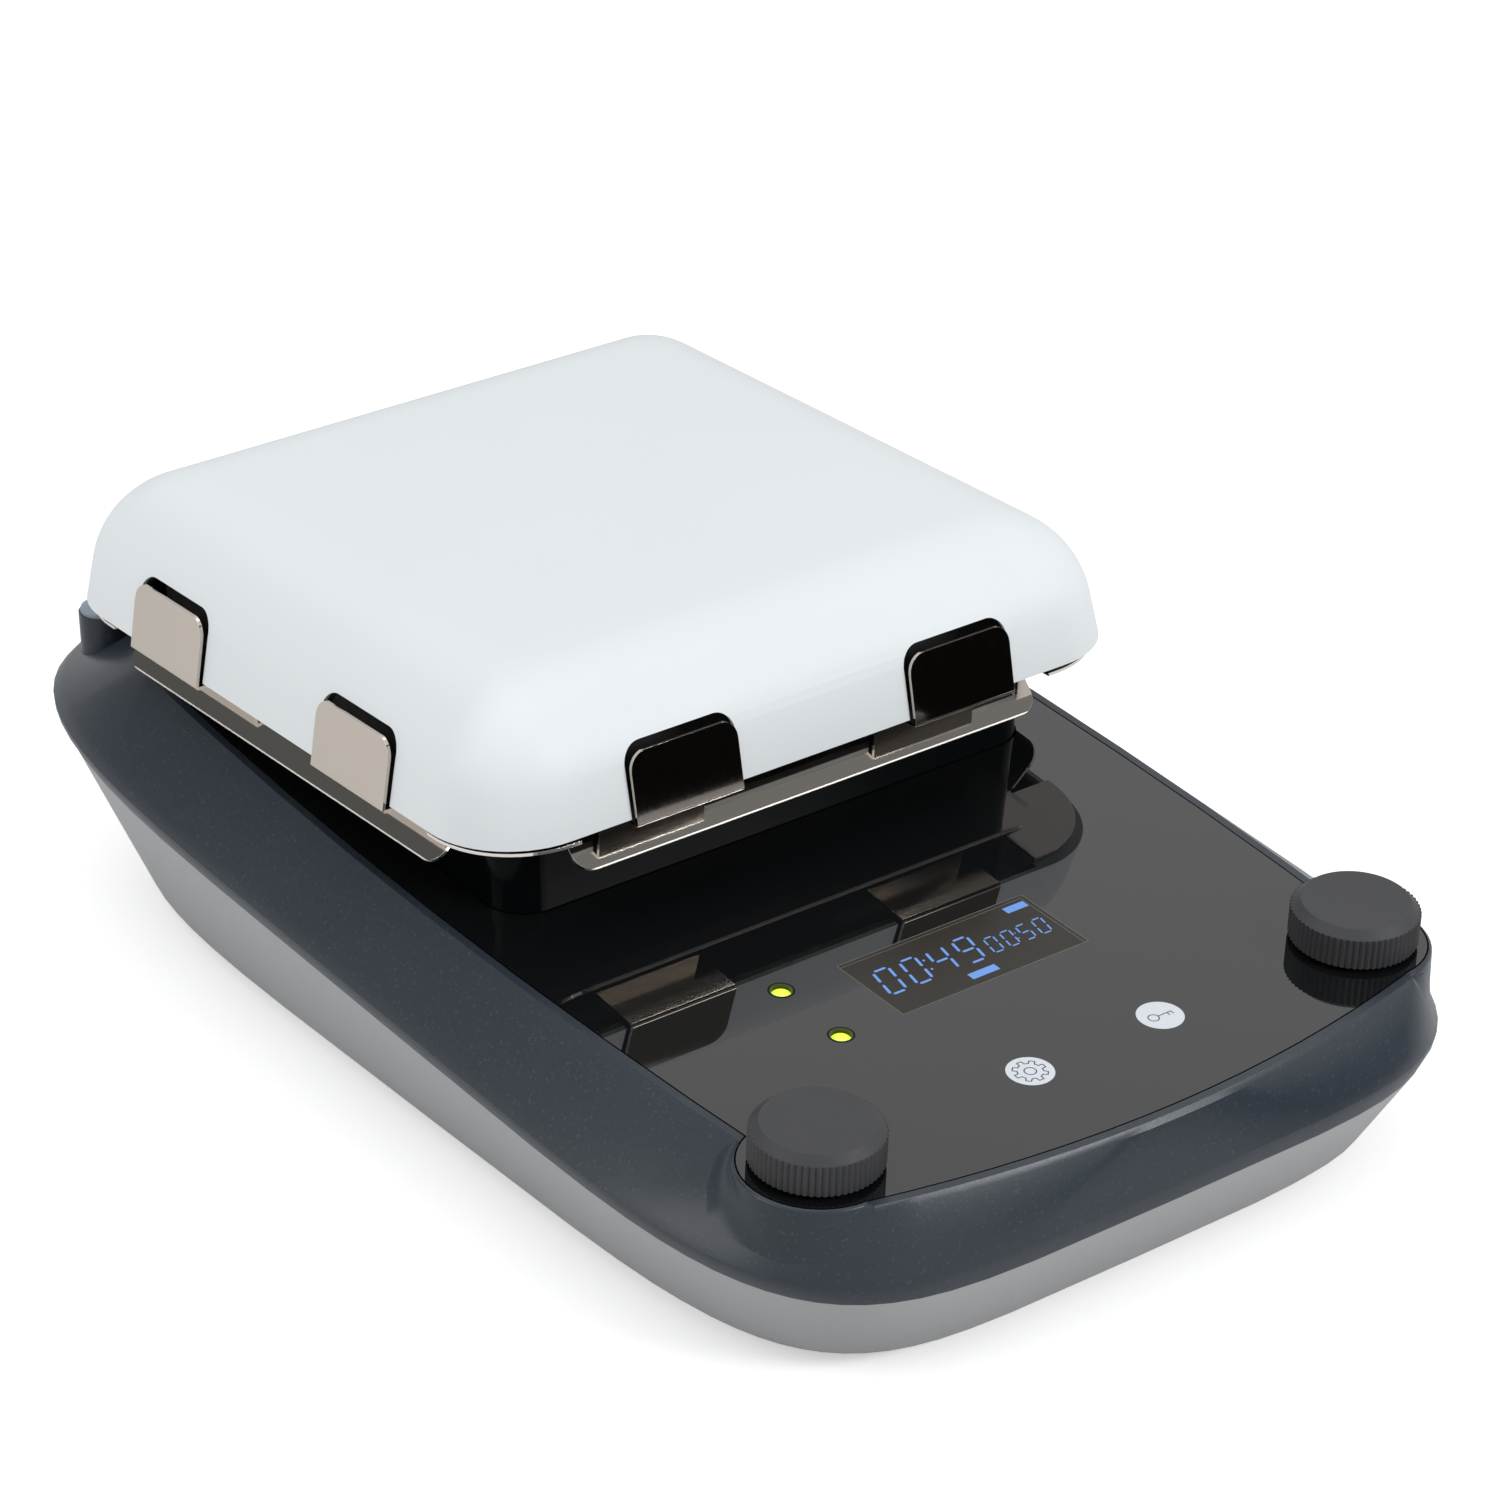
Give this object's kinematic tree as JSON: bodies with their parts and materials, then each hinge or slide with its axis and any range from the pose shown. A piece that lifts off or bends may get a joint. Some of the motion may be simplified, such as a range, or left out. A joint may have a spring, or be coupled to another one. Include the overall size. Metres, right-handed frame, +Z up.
{
  "type": "laboratory hotplate",
  "caption": "Square white hotplate on a sloping housing with a black glass control panel, knurled knobs, polished heat shields and a rear inlet and switch.",
  "frame": {"origin": "on the table, under the middle of the housing's outline", "axes": "+Z up, +X to the right of someone at the controls, -Y towards that person; the deck rises towards +Y"},
  "size_m": [0.212, 0.3402, 0.1163],
  "materials": {
    "lower_housing": "light grey satin paint",
    "upper_housing": "dark blue-grey fine textured paint",
    "control_glass": "glossy black panel",
    "glass_gasket": "adhesive foam",
    "display_module": "liquid crystal window",
    "status_lights": "lit yellow-green lens",
    "touch_pads": "conductive foam",
    "control_board": "circuit board",
    "knob_encoders": "plated metal",
    "encoder_nuts": "plated metal",
    "left_plunger": "natural plastic",
    "right_plunger": "natural plastic",
    "left_shaft": "turned metal",
    "right_shaft": "turned metal",
    "left_knob": "matt dark grey plastic",
    "right_knob": "matt dark grey plastic",
    "pedestal_collar": "glossy black",
    "heat_deflector": "polished stainless sheet",
    "tab_carrier": "polished stainless sheet",
    "hot_plate": "white ceramic coating",
    "heating_element": "dark sheath",
    "element_clamp": "bare sheet",
    "insulation_pad": "pressed fibre board",
    "temperature_probe": "bare metal",
    "overheat_thermostat": "bare metal",
    "power_board": "circuit board",
    "heat_sink": "extruded aluminium",
    "ribbon_cable": "grey flat cable",
    "heater_leads": "insulated wire",
    "mains_leads": "insulated wire",
    "power_inlet": "black plastic",
    "switch_frame": "black plastic",
    "switch_rocker": "black plastic",
    "rod_sockets": "turned steel",
    "left_rod_cap": "blue-grey plastic",
    "right_rod_cap": "blue-grey plastic",
    "rubber_feet": "black rubber",
    "screws": "zinc plated"
  },
  "bodies": {
    "base": {"lower_housing": "lower_housing", "upper_housing": "upper_housing", "control_glass": "control_glass", "glass_gasket": "glass_gasket", "display_module": "display_module", "status_lights": "status_lights", "touch_pads": "touch_pads", "control_board": "control_board", "knob_encoders": "knob_encoders", "encoder_nuts": "encoder_nuts", "pedestal_collar": "pedestal_collar", "heat_deflector": "heat_deflector", "tab_carrier": "tab_carrier", "hot_plate": "hot_plate", "heating_element": "heating_element", "element_clamp": "element_clamp", "clamp_screw": "screws", "insulation_pad": "insulation_pad", "temperature_probe": "temperature_probe", "overheat_thermostat": "overheat_thermostat", "plate_screws": "screws", "power_board": "power_board", "heat_sink": "heat_sink", "ribbon_cable": "ribbon_cable", "heater_leads": "heater_leads", "mains_leads": "mains_leads", "power_inlet": "power_inlet", "inlet_screws": "screws", "switch_frame": "switch_frame", "rod_sockets": "rod_sockets", "rubber_feet": "rubber_feet", "housing_screws": "screws", "collar_screws": "screws", "board_screws": "screws"},
    "left_plunger": {"left_plunger": "left_plunger"},
    "right_plunger": {"right_plunger": "right_plunger"},
    "left_knob": {"left_knob": "left_knob", "left_shaft": "left_shaft"},
    "right_knob": {"right_knob": "right_knob", "right_shaft": "right_shaft"},
    "switch_rocker": {"switch_rocker": "switch_rocker"},
    "left_rod_cap": {"left_rod_cap": "left_rod_cap"},
    "right_rod_cap": {"right_rod_cap": "right_rod_cap"}
  },
  "joints": [
    {"name": "left_knob_push", "type": "slide", "parent": "base", "child": "left_plunger", "axis": [0, -0.0718, 0.9974], "range_m": [-0.0006, 0], "stiffness_N_per_m": 2000},
    {"name": "left_knob_turn", "type": "hinge", "parent": "left_plunger", "child": "left_knob", "pos_m": [-0.0765, -0.13966, 0.05], "axis": [0, -0.0718, 0.9974], "continuous": true},
    {"name": "right_knob_push", "type": "slide", "parent": "base", "child": "right_plunger", "axis": [0, -0.0718, 0.9974], "range_m": [-0.0006, 0], "stiffness_N_per_m": 2000},
    {"name": "right_knob_turn", "type": "hinge", "parent": "right_plunger", "child": "right_knob", "pos_m": [0.0765, -0.13966, 0.05], "axis": [0, -0.0718, 0.9974], "continuous": true},
    {"name": "switch_tilt", "type": "hinge", "parent": "base", "child": "switch_rocker", "pos_m": [-0.034, 0.14606, 0.027], "axis": [1, 0, 0], "range_deg": [-16, 0]},
    {"name": "left_rod_cap_lift", "type": "slide", "parent": "base", "child": "left_rod_cap", "axis": [0, 0, 1], "range_m": [0, 0.03]},
    {"name": "right_rod_cap_lift", "type": "slide", "parent": "base", "child": "right_rod_cap", "axis": [0, 0, 1], "range_m": [0, 0.03]}
  ]
}
